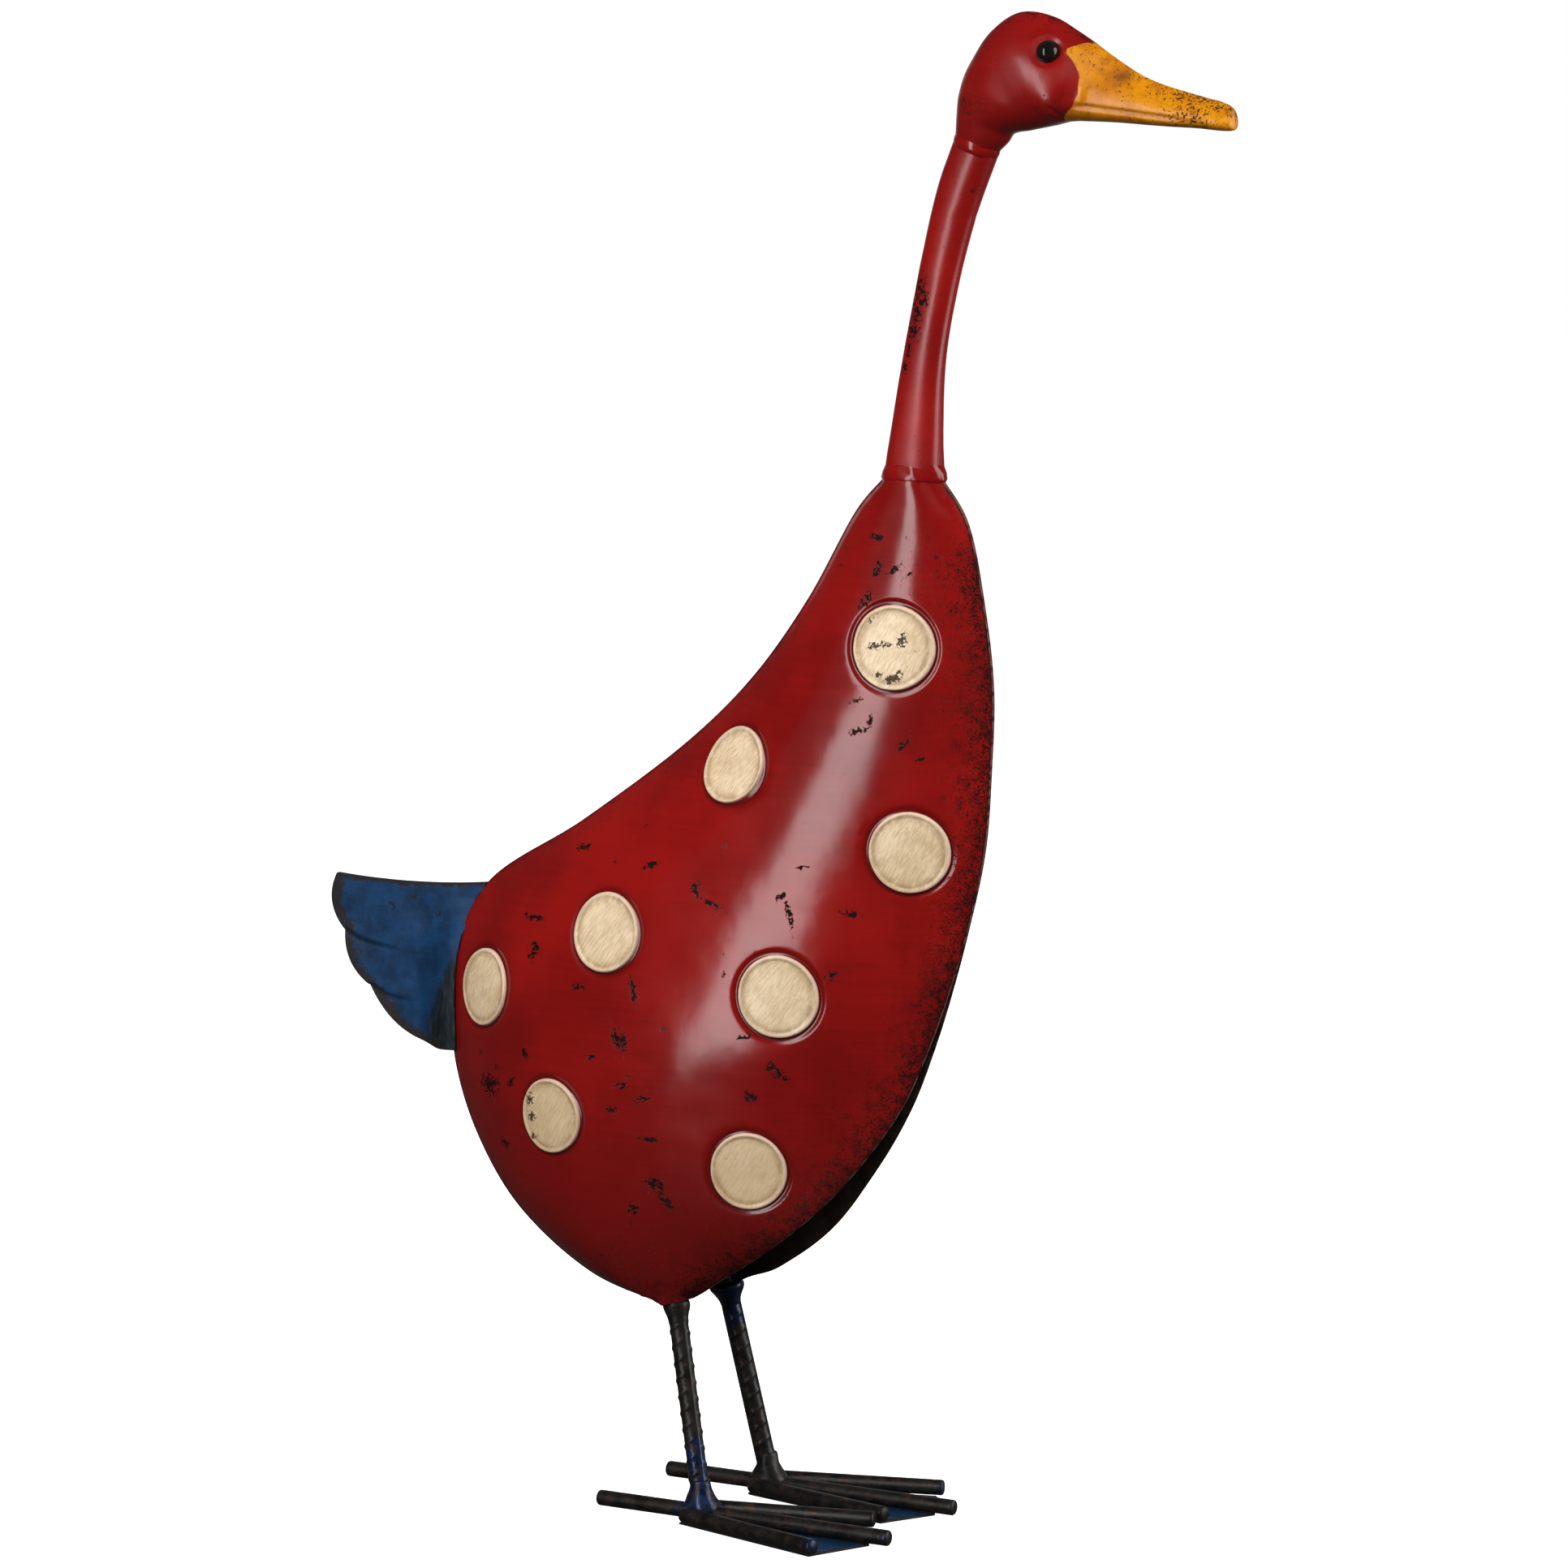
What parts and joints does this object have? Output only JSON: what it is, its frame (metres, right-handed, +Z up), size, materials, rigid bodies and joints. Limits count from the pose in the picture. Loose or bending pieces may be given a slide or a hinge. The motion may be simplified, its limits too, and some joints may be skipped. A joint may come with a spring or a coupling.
{
  "type": "goose garden figure",
  "caption": "Standing goose in painted sheet metal: domed body pressings with embossed spots, tubular neck, yellow bill, blue tail, rod legs and webbed feet.",
  "frame": {"origin": "centre of the bounding box at ground level, midway between the two feet, under the body", "axes": "+X is the way the goose faces, +Z is up, +Y is the goose's left; the seam of the pressed halves lies in the plane y = 0"},
  "size_m": [0.5085, 0.1434, 0.7472],
  "materials": {
    "red_paint": "gloss dark red paint with small dark chips, rubbed black along the edges",
    "cream_paint": "brushed cream paint on the embossed spots, browned inside the rims",
    "yellow_paint": "gloss orange-yellow paint with fine black speckle",
    "blue_paint": "satin dark blue paint, rubbed black at the edges",
    "dark_iron": "near-black iron with traces of blue paint and brown rust",
    "eye_bead": "high gloss black bead"
  },
  "bodies": {
    "root": {"body_shell_right": "red_paint", "body_shell_left": "red_paint", "neck_shell_right": "red_paint", "neck_shell_left": "red_paint", "head_shell_right": "red_paint", "head_shell_left": "red_paint", "neck_base_weld": "red_paint", "neck_top_weld": "red_paint", "bill_right": "yellow_paint", "bill_left": "yellow_paint", "tail_right": "blue_paint", "tail_left": "blue_paint", "foot_web_right": "blue_paint", "foot_web_left": "blue_paint", "leg_right": "dark_iron", "leg_left": "dark_iron", "hip_weld_right": "dark_iron", "hip_weld_left": "dark_iron", "ankle_weld_right": "dark_iron", "ankle_weld_left": "dark_iron", "toe_middle_right": "dark_iron", "toe_middle_left": "dark_iron", "toe_outer_right": "dark_iron", "toe_outer_left": "dark_iron", "toe_inner_right": "dark_iron", "toe_inner_left": "dark_iron", "eye_right": "eye_bead", "eye_left": "eye_bead"}
  },
  "joints": []
}
